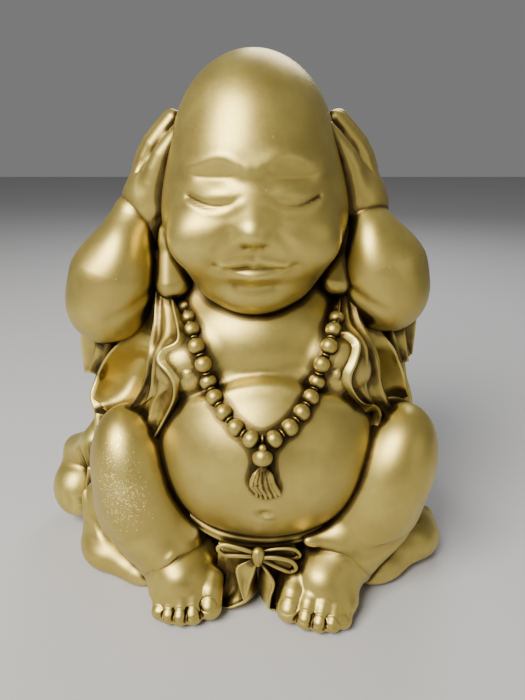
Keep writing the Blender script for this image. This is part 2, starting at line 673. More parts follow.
# %% [markdown]
# ## Feet
# Short chubby bare feet stick out from the hems. The five toes are limbs side by side, pointing
# down to the table, with deep slots between them that reach back on to the instep. The big toes
# have a small raised nail.
# %% Feet
FOOT = {-1: dict(drawn_at=(-42.0, -71.6, 18.3), heel=(-46, -54, 17), ball=(-42, -76, 11), turn=-2,
                 ankle=(-50, -59, 22), ankle_thick=19,
                 toes=[(-28.2, -85.5, 6.6), (-36.6, -89.5, 5.2), (-43.2, -90.4, 4.9),
                       (-49.4, -89.2, 4.6), (-55.0, -86.4, 4.3)]),
        1: dict(drawn_at=(35.6, -73.2, 18.3), heel=(42, -56, 17), ball=(32, -79, 11), turn=-20,
                ankle=(43, -60, 23), ankle_thick=20,
                toes=[(14.2, -87.4, 6.9), (22.6, -92.4, 5.5), (29.6, -94.6, 5.1),
                      (36.2, -94.6, 4.8), (42.2, -92.6, 4.5)])}


def foot(side, word):
    """Instep and ankle, five short toes that curl down, the slots between them, and nails."""
    facts = FOOT[side]
    at = spot(word + "_foot", facts["drawn_at"])
    heel, ball, ankle = (at(*facts[name]) for name in ("heel", "ball", "ankle"))
    ahead = turned(0, 0, facts["turn"]) @ np.array((0, -1.0, 0))
    tips = [np.array(at(x, y, radius + 1.3)) for x, y, radius in facts["toes"]]
    thick = [radius for *_, radius in facts["toes"]]
    rises = (9.0, 8.5, 7.5, 6.0, 4.5)  # how far each toe's root stands above its tip
    roots = [tip - 11 * ahead + (0, 0, rise) for tip, rise in zip(tips, rises)]

    def field(points):
        form = melt(egg(points, (heel + ball) / 2 + (0, 3, 3), (19.5, 25, 15.5), (-10, 0, facts["turn"])),
                    limb(points, ankle, ball + (0, 12, 3), facts["ankle_thick"], 13), 9)
        form = melt(form, egg(points, ball + (0, 0, -1.5), (20, 12.5, 10), (0, 0, facts["turn"])), 8)
        for tip, root, radius in zip(tips, roots, thick):
            bend = (tip + root) / 2 + (0, 0, 1.6)
            toe = melt(limb(points, root, bend, radius * 1.02, radius * 0.95),
                       limb(points, bend, tip, radius * 0.95, radius), 1.5)
            form = melt(form, toe, 1.8)
        for k, (one, two) in enumerate(zip(tips[:-1], tips[1:])):
            middle = (one + two) / 2
            slot = [middle + 4 * ahead, middle - 3 * ahead + (0, 0, 0.75 * rises[k]),
                    middle - 8.5 * ahead + (0, 0, 1.15 * rises[k + 1])]
            form = form + line_dent(points, slot, 1.0, 1.8)
        for tip, radius in zip(tips, thick):
            nail = tip + ahead * radius * 0.45 + (0, 0, radius * 0.66)
            away = egg(points, nail, (radius * 0.6, radius * 0.5, radius * 0.5), (-35, 0, facts["turn"]))
            form = form + 0.06 * radius * np.exp(-((away - 0.5) / 0.5) ** 2)
        return -melt(-form, points[..., 2] - 1.6, 0.6)
    return cast(word + "_foot_skin", field, (heel + (0, 2, 6), ball + (0, 2, -2)), 50, (320, 280),
                [word + "_foot"], skin_gold, rounds=8)


feet = [foot(side, word) for side, word in SIDES]
right_knee, left_knee = (spot(word + "_leg", LEG[side]["drawn_at"]) for side, word in SIDES)
left_instep = spot("left_foot", FOOT[1]["drawn_at"])
sprinkle(legs[0], right_knee(-74, -74, 76), (13, 30, 26), 0.36)
sprinkle(legs[0], right_knee(-66, -74, 62), (12, 30, 14), 0.10)
sprinkle(feet[1], left_instep(40, -78, 24), (16, 20, 12), 0.06)
sprinkle(legs[1], left_knee(56, -84, 20), (20, 20, 12), 0.06)


# %% [markdown]
# ## Robe
# The robe hangs from the shoulders like a short tent, wide open in front. Its back was never meant
# to be seen much: a few long soft folds that fan out from the collar, and a hem that ripples on the
# table. One closed grid makes it, a function of the angle around the figure and the height, with
# each fold a groove that drifts sideways as it goes down.
# %% Robe shell
ROBE_LEFT = 1000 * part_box("robe_left_side")[1][0]
ROBE_RIGHT = 1000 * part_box("robe_right_side")[0][0]
ROBE_TOP = 1000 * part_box("robe_right_side")[1][2]
ROBE_MIDDLE = np.array(((ROBE_LEFT + ROBE_RIGHT) / 2, centre_of("base_plate")[1]))
FLOOR = 1000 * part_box("robe_back")[0][2]
# each fold: angle in degrees at the collar, angle at the hem, width and depth in millimetres
FOLDS = [(96, 84, 9, 5.5), (78, 60, 8, 4.0), (112, 112, 8, 4.5), (60, 38, 9, 5.0), (130, 140, 9, 5.5),
         (44, 18, 7, 3.5), (148, 164, 8, 4.0), (28, 2, 7, 3.0), (160, 186, 7, 3.0)]


# the robe's half width and its reach to the back, at shares of its height from hem to collar
SHARES = (0, 0.12, 0.3, 0.5, 0.7, 0.86, 0.95, 1)
WIDE = np.polyfit(SHARES, (110, 108, 103, 97, 89, 73, 50, 30), 5)
DEEP = np.polyfit(SHARES, (77, 75, 71, 66, 57, 42, 32, 24), 5)


def robe_radius(angle, rise):
    """Distance of the robe from its axis: an ellipse that narrows with height, less the folds."""
    share = (rise - FLOOR) / (ROBE_TOP - FLOOR)
    wide, deep = np.polyval(WIDE, share), np.polyval(DEEP, share)
    opening = 0.675 - 0.125 * np.tanh((share - 0.5) / 0.1)  # the front is flatter, most of all high up
    front = np.where(np.sin(angle) < 0, opening, 1.0)
    radius = 1 / np.sqrt((np.cos(angle) / wide) ** 2 + (np.sin(angle) / (deep * front)) ** 2)
    fade = np.clip(share / 0.06, 0, 1) * np.clip((0.97 - share) / 0.2, 0, 1)
    for at_collar, at_hem, width, depth in FOLDS:
        middle = np.radians(at_hem + (at_collar - at_hem) * share ** 0.8)
        off = (angle - middle + math.pi) % (2 * math.pi) - math.pi
        groove = depth * np.exp(-(off * radius / width) ** 2)
        crest = 0.5 * depth * np.exp(-((off * radius - 1.5 * width) / width) ** 2)
        radius = radius + fade * (crest - groove * (1.1 - 0.6 * share))
    behind = np.clip(np.sin(angle) + 0.35, 0, 1)
    flare = 4.5 * np.exp(-(rise - FLOOR) / 16) * behind * (1 + 0.7 * np.sin(9 * angle + 0.6))
    return radius + flare


def robe():
    """Stacked rings of the robe from the table up, closed at the bottom and at the collar."""
    around, rings = int(560 * FINE), int(240 * FINE)
    angle = np.linspace(0, 2 * math.pi, around, endpoint=False)
    rise = FLOOR + (ROBE_TOP - FLOOR) * np.linspace(0, 1, rings) ** 0.9
    angle, rise = np.meshgrid(angle, rise)
    radius = robe_radius(angle, rise)
    skin = np.stack([ROBE_MIDDLE[0] + radius * np.cos(angle),
                     ROBE_MIDDLE[1] + radius * np.sin(angle), rise], -1)
    skin[..., 1] -= 3.5 + 3.5 * np.tanh((skin[..., 2] - 145) / 30)
    inner = skin[:1] * (0.9, 0.9, 1) + (ROBE_MIDDLE[0] * 0.1, ROBE_MIDDLE[1] * 0.1, 0)
    cap = skin[-1:] * (0.5, 0.5, 1) + (0.5 * ROBE_MIDDLE[0], 0, 1.5)
    rings = np.concatenate([inner, skin, cap])
    points, faces = closed_skin(rings, (*ROBE_MIDDLE, FLOOR), (ROBE_MIDDLE[0], -2, ROBE_TOP + 1.5))
    return piece("robe", points, faces, ["robe_back", "robe_right_side", "robe_left_side"], robe_gold, 20)


robe()


# %% [markdown]
# ## Cloth between two edges
# The robe's front is a set of cloth panels, each held between two wavy edges with a thin raised
# lip. A panel is a closed section carried along: it starts behind one edge, rounds its lip, crosses
# to the other edge with a sag or a bulge, rounds that lip and comes back behind. Each section
# belongs to one step along both edges, so the whole panel is again a function of two parameters.
# %% Panels
def panel(one, other, sag, lip=1.5, thick=6.0, folds=(), steps=120, across=56):
    """Rings of a cloth panel between two drawn edges.

    A point is (1-s) one + s other, moved along the panel's normal by the lips' height less the
    sag times sin(pi s), and by each fold (place s, width, height, share along where it peaks).
    """
    steps, across = int(steps * max(FINE, 0.6)), int(across * max(FINE, 0.7))
    first, second = smooth_path(one, steps), smooth_path(other, steps)
    along = np.gradient((first + second) / 2, axis=0)
    normal = np.cross(second - first, along)
    normal /= length(normal)[:, None]
    normal = np.where((normal[:, 1] > 0)[:, None], -normal, normal)
    s = np.linspace(0, 1, across)[None, :]
    t = np.linspace(0, 1, steps)[:, None]
    width = length(second - first)[:, None]
    depth = np.interp(t, np.linspace(0, 1, len(sag)), sag) if np.ndim(sag) else np.full_like(t, sag)
    rise = lip * (np.exp(-(s * width / 2.0) ** 2) + np.exp(-((1 - s) * width / 2.0) ** 2))
    rise = rise - depth * np.sin(math.pi * s) ** 0.8
    for place, spread, height, peak in folds:
        where = np.exp(-((t - peak) / 0.32) ** 2)
        rise = rise + height * where * np.exp(-(((s - place) * width) / spread) ** 2)
    line = first[:, None] + s[..., None] * (second - first)[:, None]
    face = line + rise[..., None] * normal[:, None]
    back = line - (thick + depth[..., None]) * normal[:, None]
    out = ((first - second) / length(second - first)[:, None])[:, None]
    left = face[:, :1] + out * 1.1 - 0.9 * normal[:, None]
    right = face[:, -1:] - out * 1.1 - 0.9 * normal[:, None]
    return np.concatenate([left, face, right, back[:, ::-1]], axis=1)


def panel_piece(name, rings, nodes, rounds=10):
    """Closes a panel's rings at both ends and makes it a piece."""
    points, faces = closed_skin(rings, rings[0].mean(0), rings[-1].mean(0))
    return piece(name, points, faces, nodes, robe_gold, rounds)


def placed(at, route):
    """A drawn route, moved to where the CAD has its node."""
    return [at(*point) for point in route]


# edges of the two lapels, from the neck down
LAPEL_RIGHT = [(-47, -34, 163), (-41.3, -53.9, 148.5), (-49.8, -56, 142.5), (-51.4, -58, 138),
               (-46.6, -61.3, 133.5), (-43.6, -62.5, 127.9), (-45.1, -59.5, 117.4),
               (-50.2, -58, 106.5), (-57, -56, 94)]
RIM_RIGHT = [(-56, -29, 166), (-56.2, -37, 150), (-57, -48, 139), (-59, -48.5, 128), (-65.5, -46, 113.8),
             (-73, -46, 104.6), (-80, -44.5, 101.2), (-79, -45, 96), (-74, -47, 90)]
LAPEL_LEFT = [(41, -32, 163), (38.4, -48, 151.3), (43.7, -52, 149.6), (47.8, -55.4, 145.7),
              (45.8, -60.6, 139), (43, -63, 132.4), (44, -62.5, 125.3), (51.1, -57, 114.6),
              (59.9, -53, 108.8), (61.6, -52, 101.3), (57, -57, 90)]
RIM_LEFT = [(47, -29, 168), (50, -38, 154), (54, -47, 145), (58, -48.5, 135), (61.5, -46.5, 122),
            (65, -46.5, 112), (67.6, -46.5, 105.1), (70, -46.5, 102), (70, -47, 92)]
on_right, on_left = spot("right_lapel", (-54.0, -44.5, 128.4)), spot("left_lapel", (53.9, -43.2, 130.6))
panel_piece("right_lapel_panel",
            panel(placed(on_right, LAPEL_RIGHT), placed(on_right, RIM_RIGHT), [0.5, 1.2, 1.6, 2, 3, 4, 2],
                  1.7, 11, [(0.6, 2.6, 2.2, 0.4), (0.36, 4.0, 2.8, 0.82)]), ["right_lapel"], 4)
panel_piece("left_lapel_panel",
            panel(placed(on_left, LAPEL_LEFT), placed(on_left, RIM_LEFT), [0.5, 1.2, 1.6, 2, 2.4, 3, 2],
                  1.7, 11, [(0.55, 2.4, 2.4, 0.35), (0.4, 3.6, 2.4, 0.75)]), ["left_lapel"], 4)


# %% [markdown]
# ## Sleeves
# Under each elbow the wide sleeve hangs open, dark inside, with a flat pleat of cloth at its outer
# end. The hollow is a panel with a deep sag between the sleeve's front rim and its upper ridge. The
# pleat is a second, narrow panel under the elbow. They are joined into one piece for each sleeve.
# %% Sleeves
def joined(name, parts, nodes, rounds=10):
    """Several closed skins in one piece. Each is turned to face outwards before they are stacked."""
    all_points, all_faces, base = [], [], 0
    for rings in parts:
        points, faces = closed_skin(rings, rings[0].mean(0), rings[-1].mean(0))
        all_points.append(points)
        all_faces.append((faces if volume_of(points, faces) > 0 else faces[:, ::-1]) + base)
        base += len(points)
    return piece(name, np.vstack(all_points), np.vstack(all_faces), nodes, robe_gold, rounds)


SLEEVE = {
    -1: dict(drawn_at=(-92.7, -18.3, 119.5),
             front=[(-56, -28, 165), (-57.5, -35, 149.4), (-58.5, -45, 139), (-60.5, -46, 128.5),
                    (-66, -43.5, 113.8), (-73, -44, 104.2), (-80, -43, 101.2), (-87, -41, 103)],
             upper=[(-57, -26, 165), (-67, -30, 150.2), (-75, -32, 140.5), (-84, -33, 131.1),
                    (-89.5, -33, 122), (-90.8, -32, 117), (-93, -32, 110), (-95, -31, 104)],
             pleat_in=[(-83.9, -31, 143), (-87, -31.5, 130), (-90.4, -32, 118.6)],
             pleat_out=[(-90, -26, 143), (-93, -26.5, 130), (-97.3, -27, 119)],
             wing_in=[(-90, -24, 144), (-93, -24.5, 130), (-97, -25, 119)],
             wing_out=[(-103, -14, 144), (-104, -14, 130), (-103.4, -15, 114)],
             wall_in=[(-80, -14, 120), (-79, -17, 110), (-77, -24, 101), (-76, -36, 92), (-78, -30, 60)],
             wall_out=[(-96, -10, 120), (-98, -14, 110), (-100.7, -19, 101), (-98, -24, 90),
                       (-104, -16, 62)]),
    1: dict(drawn_at=(77.0, -16.7, 119.9),
            front=[(47, -28, 166), (51, -36, 153.6), (55.5, -46, 144.5), (59.5, -46, 134.9), (62.5, -43, 122),
                   (66, -44, 111.8), (70, -43.5, 104.5), (76, -41, 101)],
            upper=[(50.6, -26, 167.8), (56.9, -30, 153.4), (64, -32, 142.9), (70.5, -33, 135.2),
                   (74, -32, 128), (77, -32, 121), (79, -32, 113), (81, -31, 106)],
            pleat_in=[(69.5, -29, 148), (73, -29.5, 137), (76.9, -30, 126)],
            pleat_out=[(77, -25, 148), (79, -26, 137), (81, -28, 126)],
            wing_in=[(78, -22, 147), (80, -23, 137), (82, -25, 128)],
            wing_out=[(86.5, -15, 148), (86, -16, 137), (84.5, -20, 127)],
            wall_in=[(68, -14, 122), (68, -18, 112), (68, -26, 102), (70, -36, 92), (74, -30, 62)],
            wall_out=[(83, -11, 122), (84, -14, 112), (87, -18, 102), (89, -22, 90), (97, -16, 64)])}


def sleeve(side, word):
    """The hollow, two flat pleats under the elbow and the wall of cloth below them."""
    at = spot(word + "_sleeve", SLEEVE[side]["drawn_at"])
    facts = {name: placed(at, route) for name, route in SLEEVE[side].items() if name != "drawn_at"}
    cave = panel(facts["front"], facts["upper"], [0, 6, 13, 16, 15, 12, 8, 4], 1.5, 4)
    pleat = panel(facts["pleat_in"], facts["pleat_out"], [0.2, 0.2], 0.7, 14, (), 50, 30)
    wing = panel(facts["wing_in"], facts["wing_out"], [1.0, 2.0, 1.0], 0.9, 20, (), 50, 30)
    wall = panel(facts["wall_in"], facts["wall_out"], [0, 0.5, 1.0, 1.0], 0.5, 16,
                 [(0.5, 4.0, 1.6, 0.7)], 90, 40)
    return joined(word + "_sleeve_skin", [cave, pleat, wing, wall], [word + "_sleeve"])


for side, word in SIDES:
    sleeve(side, word)


# %% [markdown]
# ## Folds above the knees
# Where the robe meets each knee, the cloth doubles over into a small flat fold with a bright edge.
# They belong to the robe, so they are two more panels, and no CAD node has to make room for them.
# %% Knee folds
on_right, on_left = spot("robe_right_side", (-63.7, -5.6, 92.8)), spot("robe_left_side", (49.7, -5.6, 92.8))
right_fold = panel(placed(on_right, [(-95, -30, 95), (-93.5, -36, 87), (-91, -40, 80)]),
                   placed(on_right, [(-79, -42, 99), (-82, -46, 94), (-86.5, -47, 86)]),
                   [0.6, 0.6], 1.0, 24, (), 50, 36)
left_fold = panel(placed(on_left, [(60, -45, 104), (66, -44, 109.5), (75, -36, 107), (85, -32, 101)]),
                  placed(on_left, [(62, -49, 99), (68, -50, 104), (79, -46, 98.8), (87, -36, 93)]),
                  [0.6, 1.6, 0.6], 1.1, 22, (), 60, 36)
joined("knee_folds", [right_fold, left_fold], [])


# %% [markdown]
# ## Hems on the table
# The robe's lower edge is gathered into heavy rolls beside the legs. They are lumps more than
# sheets, so they are fields again: a few limbs and eggs melted into each other, with the cloth's
# edge pressed in as lines.
# %% Hem rolls
on_right, on_left = spot("right_hem_roll", (-108.3, -14.0, 20.3)), spot("left_hem_roll", (84.8, -14.3, 19.6))


def right_hem_field(points, at=on_right):
    """A thick roll whose end faces forward, an upper fold, and the cloth that runs under the leg."""
    roll = melt(egg(points, at(-122.5, 2, 23), (15.5, 17, 17.5), (0, 0, 12)),
                limb(points, at(-118, 12, 26), at(-104, 46, 24), 20, 14), 10)
    upper = melt(limb(points, at(-104, -4, 62), at(-123, 14, 46), 9, 11),
                 limb(points, at(-100, 6, 76), at(-104, -2, 60), 7, 9), 8)
    form = melt(roll, upper, 7)
    under = melt(egg(points, at(-98, -26, 24), (13, 14, 30), (0, 8, -30)),
                 egg(points, at(-92, -38, 9), (20, 17, 13), (0, 0, -38)), 9)
    under = melt(under, egg(points, at(-74, -54, 5), (15, 9, 8), (0, 0, -30)), 8)
    form = melt(form, under, 4)
    form = form - line_dent(points, [at(-104, -26, 62), at(-109, -29, 48), at(-106, -35, 36),
                                     at(-98, -42, 22), at(-82, -54, 9)], 2.6, 2.4)
    form = form + line_dent(points, [at(-110, -18, 50), at(-114, -20, 36), at(-112, -26, 22),
                                     at(-104, -38, 8)], 3.2, 2.2)
    form = form - line_dent(points, [at(-136, -8, 38), at(-126, -14, 41), at(-116, -14, 40)], 1.8, 2.2)
    form = form + line_dent(points, [at(-128, -16, 34), at(-123, -17, 22), at(-127, -16, 10)], 2.0, 2.4)
    form = form + line_dent(points, [at(-134, 0, 44), at(-124, -4, 45), at(-112, -8, 46)], 2.6, 2.0)
    return -melt(-form, points[..., 2] - FLOOR, 1.0)


def left_hem_field(points, at=on_left):
    """A fold behind the knee and, below it, cloth that spreads on the table with a turned-up rim."""
    fold = melt(egg(points, at(97, 4, 50), (13, 16, 26), (0, -12, 0)),
                limb(points, at(86, -4, 84), at(98, 6, 62), 8, 10), 8)
    spread = melt(egg(points, at(86, -28, 14), (24, 24, 17), (0, 12, 30)),
                  egg(points, at(68, -52, 8), (17, 12, 11), (0, 0, 26)), 9)
    form = melt(fold, spread, 7)
    form = melt(form, limb(points, at(98, 10, 24), at(84, 48, 22), 14, 12), 9)
    form = form - line_dent(points, [at(92, -30, 38), at(103, -20, 28), at(110, -18, 14)], 2.6, 2.6)
    form = form + line_dent(points, [at(88, -40, 30), at(97, -32, 20), at(102, -32, 8)], 3.6, 2.4)
    form = form + line_dent(points, [at(106, -12, 62), at(104, -14, 46), at(98, -18, 34)], 3.0, 2.2)
    form = form - line_dent(points, [at(56, -66, 4), at(74, -62, 6), at(92, -48, 8)], 2.4, 1.2)
    return -melt(-form, points[..., 2] - FLOOR, 1.0)


hems = [
    cast("right_hem_skin", right_hem_field, (on_right(-98, -28, 14), on_right(-112, 10, 26)), 80, (300, 240),
         ["right_hem_roll"], robe_gold, rounds=14),
    cast("left_hem_skin", left_hem_field, (on_left(80, -34, 12), on_left(94, 8, 30)), 80, (300, 240),
         ["left_hem_roll"], robe_gold, rounds=14)]
for made, place in zip(hems, (on_right(-112, -24, 44), on_left(92, -44, 10))):
    sprinkle(made, place, (16, 24, 18), 0.10)
right_flap = panel(placed(on_right, [(-107, -18, 52), (-109.5, -20, 36), (-110.4, -18, 20), (-109, -22, 7),
                                     (-99, -32, 4), (-86, -44, 4), (-68, -60, 4)]),
                   placed(on_right, [(-99, -30, 50), (-100, -32, 36), (-102, -32, 24), (-97, -36, 18),
                                     (-90, -42, 12), (-80, -50, 9), (-66, -60, 8)]),
                   [1, 2, 2, 2, 1.5, 1], 1.3, 14)
left_flap = panel(placed(on_left, [(98, -16, 74), (106, -14, 62.6), (107.6, -12, 46), (104.5, -12, 31.4)]),
                  placed(on_left, [(93, -24, 74), (97, -24, 60), (99, -24, 46), (98, -20, 34)]),
                  [1, 3, 3, 1], 1.3, 22, (), 80, 40)
left_rim = panel(placed(on_left, [(100, -14, 20), (109, -14, 14), (109.5, -18, 6), (95, -34, 4), (76, -50, 4),
                                  (60, -62, 4)]),
                 placed(on_left, [(93, -26, 22), (100, -28, 15), (95, -36, 11), (84, -44, 10.5),
                                  (72, -54, 9.5), (59, -63, 8)]),
                 [1, 3, 3, 2, 1], 1.3, 14)
joined("hem_flaps", [right_flap, left_flap, left_rim], [])


# %% [markdown]
# ## Skirt, waistband and bow
# Between the feet, two leaves of cloth fall from a small bow, with a dark gap between them. The
# waistband is a flat cord with a line along its middle. The bow's loops are thin cloth rims around
# a hollow. Panels make the leaves, and a section carried along a path makes the cord and the rims.
# %% Cords and rims
def tube(route, thick, flat=1.0, steps=90, sides=20, line=0.0, up=(0, 0, 1)):
    """Rings of an oval section carried along a drawn line; line presses a groove along its front."""
    steps, sides = int(steps * max(FINE, 0.6)), int(sides * max(FINE, 0.7))
    path = smooth_path(route, steps)
    along = np.gradient(path, axis=0)
    along /= length(along)[:, None]
    across = np.cross(along, np.array(up, float))
    across /= np.maximum(length(across), 1e-6)[:, None]
    over = np.cross(across, along)
    share = np.linspace(0, 1, steps)
    wide = np.interp(share, np.linspace(0, 1, len(thick)), thick)[:, None]
    turn = np.linspace(0, 2 * math.pi, sides, endpoint=False)[None, :]
    pressed = 1 - line * (np.exp(-(np.sin(turn) / 0.25) ** 2))
    return (path[:, None] + (wide * flat * np.cos(turn) * pressed)[..., None] * across[:, None]
            + (wide * np.sin(turn))[..., None] * over[:, None])


at = spot("waistband", (-1.1, -67.2, 42.5))
waist = tube(placed(at, [(-48, -53, 53), (-39.1, -60, 46), (-26.8, -66.5, 41.6), (-14.9, -70, 39.6),
                         (0, -71.4, 38.8), (16.5, -70, 40), (31.7, -64.5, 43), (41.9, -58, 46.5),
                         (50, -53, 52)]),
             [2.4, 2.9, 3.3, 3.3, 3.3, 2.9, 2.4], 0.8, 140, 24, 0.42)
joined("waistband_cord", [waist], ["waistband"], 6)

at = spot("front_skirt", (-3.6, -67.0, 16.5))
left_leaf = panel(placed(at, [(-3.5, -74, 34), (-5, -77, 25), (-8, -80, 18), (-9.4, -82, 12),
                              (-10.6, -82, 8), (-18, -81.5, 3.6), (-25, -79, 2.8)]),
                  placed(at, [(-16, -70, 36), (-20, -70, 30), (-20, -70, 22), (-19.5, -71, 16),
                              (-21, -74, 10), (-24, -76, 6), (-27.5, -77, 3.4)]),
                  [0.3, 1.2, 2.6, 3, 2, 0.6], 0.9, 7, [(0.35, 3.0, 2.2, 0.6)])
right_leaf = panel(placed(at, [(0.4, -74, 34), (1, -77, 28), (4.5, -80, 23), (5.6, -81, 17.8),
                               (3.8, -81.5, 10.3), (3.6, -82, 4.2), (7, -82, 2.6)]),
                   placed(at, [(16, -70, 36), (17, -70, 30), (15, -70, 24), (12, -72, 18),
                               (11, -75, 12), (10.6, -78, 6), (9.6, -79, 2.8)]),
                   [0.3, 1.2, 2.2, 2.4, 2, 0.6], 0.9, 7)
under = tube(placed(at, [(-24, -64, 18), (-10, -66, 18), (6, -66, 18), (18, -64, 18)]),
             [16, 18, 18, 16], 0.35)
joined("front_skirt_cloth", [left_leaf, right_leaf, under], ["front_skirt"], 8)


def loop_rim(points, thick):
    """A closed rim: the route goes round once and ends where it began."""
    return tube(points, [thick] * 2, 1.2, 90, 14, 0.0, (0, 1, 0))


at = spot("sash_loops", (-8.5, -77.2, 35.0))
loop_left = loop_rim(placed(at, [(-4, -78.5, 37), (-13, -78, 40), (-20.6, -77, 41), (-23.4, -77, 38.4),
                                 (-19.6, -77.5, 35.2), (-12, -78.5, 35.4), (-4, -79, 35.4)]), 1.1)
loop_right = loop_rim(placed(at, [(0, -79.5, 35), (8.1, -79.5, 34.6), (15.4, -79, 31.8), (17.8, -78.5, 27),
                                  (15, -78.5, 24.8), (9.4, -79.5, 28), (0, -79.5, 33.4)]), 1.1)
loop_upper = loop_rim(placed(at, [(0, -76.5, 36.4), (8.2, -76, 37.6), (16.2, -75.5, 37), (19.8, -75, 33),
                                  (16.4, -75.5, 30.8), (8.2, -76.5, 32.4), (0, -77, 34.6)]), 1.0)
fill_left = tube(placed(at, [(-5, -77.4, 36.6), (-13, -77, 37.8), (-20.6, -76.4, 38.2)]),
                 [1.6, 2.6, 2.2], 0.4, 40, 16)
fill_right = tube(placed(at, [(1, -78.4, 34), (9, -78.2, 31.4), (15.4, -77.6, 28)]),
                  [1.4, 2.8, 2.2], 0.4, 40, 16)
fill_upper = tube(placed(at, [(1, -75.6, 35.4), (9, -75, 34.8), (17, -74.6, 34)]),
                  [1.4, 2.6, 2.2], 0.4, 40, 16)
joined("bow_loops", [loop_left, loop_right, loop_upper, fill_left, fill_right, fill_upper], ["sash_loops"], 6)

at = spot("sash_knot", (-2.0, -77.4, 33.5))


def knot_field(points, at=at):
    """A pinched knot: a small upright egg over a smaller one, with two grooves down its front."""
    form = melt(egg(points, at(-2.4, -78.6, 36), (3.8, 3.4, 4.6)),
                egg(points, at(-2.2, -78.4, 32), (2.6, 3.0, 3.2)), 2)
    form = form + line_dent(points, [at(-3.8, -82, 39.5), at(-3.4, -82.4, 36), at(-3.6, -81.5, 32)], 0.8, 0.7)
    return form + line_dent(points, [at(-0.9, -82, 39.5), at(-1.1, -82.4, 36), at(-1.1, -81.5, 32)], 0.8, 0.6)


cast("bow_knot", knot_field, (at(-2.4, -78.4, 34), at(-2.4, -78.4, 36.4)), 12, (80, 70),
     ["sash_knot"], robe_gold, rounds=5)

at = spot("sash_tails", (-2.0, -78.4, 19.4))
tail_left = panel(placed(at, [(-2.6, -79, 33), (-5, -80.5, 27), (-7.4, -82, 20), (-9.2, -83.4, 12.4)]),
                  placed(at, [(-5, -78, 33), (-13, -78.4, 27.4), (-12.4, -81, 20), (-9.8, -83.6, 12)]),
                  [0.2, 0.8, 0.4], 0.6, 3, (), 60, 30)
tail_right = tube(placed(at, [(-1, -79, 31.5), (2.6, -80.5, 26.6), (5.8, -81.8, 19.6), (4.2, -82.6, 12),
                              (3.6, -83, 5.4)]),
                  [0.9, 1.2, 1.2, 1.1, 0.8], 0.9, 70, 16, 0.0, (0, 1, 0))
joined("bow_tails", [tail_left, tail_right], ["sash_tails"], 6)


# %% [markdown]
# ## Necklace
# Round beads touch each other on a thin cord, which shows as a little ring in each gap. The CAD
# necklace gives each bead's place: its loose solids are separate groups of vertices, so each
# group's middle is a bead. Beads repeat, so each one has only a few hundred faces.
# %% Necklace beads
def bead_places(node):
    """Middles and radii of the separate solids in a CAD node, found by walking along its edges."""
    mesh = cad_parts[node].data
    corner = np.round(1000 * read(mesh.vertices, "co", 3), 2)
    corner, same = np.unique(corner, axis=0, return_inverse=True)
    ends = same.ravel()[read(mesh.edges, "vertices", 2, np.int32)]
    label = np.arange(len(corner))
    for _ in range(400):
        low = np.minimum(label[ends[:, 0]], label[ends[:, 1]])
        new = label.copy()
        np.minimum.at(new, ends[:, 0], low)
        np.minimum.at(new, ends[:, 1], low)
        new = new[new]
        if (new == label).all():
            break
        label = new
    boxes = [(corner[label == k].min(0), corner[label == k].max(0)) for k in np.unique(label)]
    return [((a + b) / 2, (b - a).max() / 2) for a, b in boxes if (b - a).max() > 3]


def ball(centre, radius, sides=28):
    """Rings of a sphere, from its lowest to its highest."""
    tilt = np.linspace(0, math.pi, sides // 2 + 2)[1:-1][:, None]
    lap = np.linspace(0, 2 * math.pi, sides, endpoint=False)[None, :]
    return centre + radius * np.stack([np.sin(tilt) * np.cos(lap), np.sin(tilt) * np.sin(lap),
                                       -np.cos(tilt) * np.ones_like(lap)], -1)


beads = sorted(bead_places("necklace_beads"), key=lambda b: b[0][0])
print("beads:", len(beads))
middles = np.array([b[0] for b in beads])
parts = [ball(middle, 4.3) for middle in middles]
for one, two in zip(middles[:-1], middles[1:]):
    gap = length(two - one)
    if gap < 12:
        parts.append(tube([one + (two - one) * k for k in (0.42, 0.46, 0.5, 0.54, 0.58)],
                          [1.5, 2.1, 2.3, 2.1, 1.5], 1.0, 12, 14))
joined("necklace", parts, ["necklace_beads"], 3)

low_bead = centre_of("guru_bead")
joined("middle_bead", [ball(low_bead, 4.9, 36), ball(low_bead + (0, -0.5, 5.2), 1.9, 20)], ["guru_bead"], 3)

strands = []
# each strand: how far aside it leans below the collar, and where it ends
STRANDS = [(-4.2, -3.0), (-2.6, -0.8), (-0.8, 1.6), (1.2, 4.0), (3.0, 6.6), (4.2, 8.6)]
for k, (lean, end) in enumerate(STRANDS):
    strands.append(tube([low_bead + (0.3 * lean * 0.2, -1.0, -4.2),
                         low_bead + (lean * 0.8, -2.6, -8.0),
                         low_bead + (lean * 1.15, -3.4 + 0.3 * abs(lean), -13.5),
                         low_bead + (end * 0.85, -3.2 + 0.25 * abs(lean), -18.5 + 0.25 * abs(k - 3)),
                         low_bead + (end, -2.6, -22.5 + 0.9 * abs(k - 2))],
                        [0.9, 1.5, 1.7, 1.5, 0.5], 0.9, 44, 12))
collar = tube([low_bead + (0, -1.0, -4.0), low_bead + (0.1, -1.3, -6.0)], [2.2, 2.6], 1.0, 10, 18)
joined("tassel_strands", strands + [collar], ["tassel"], 4)


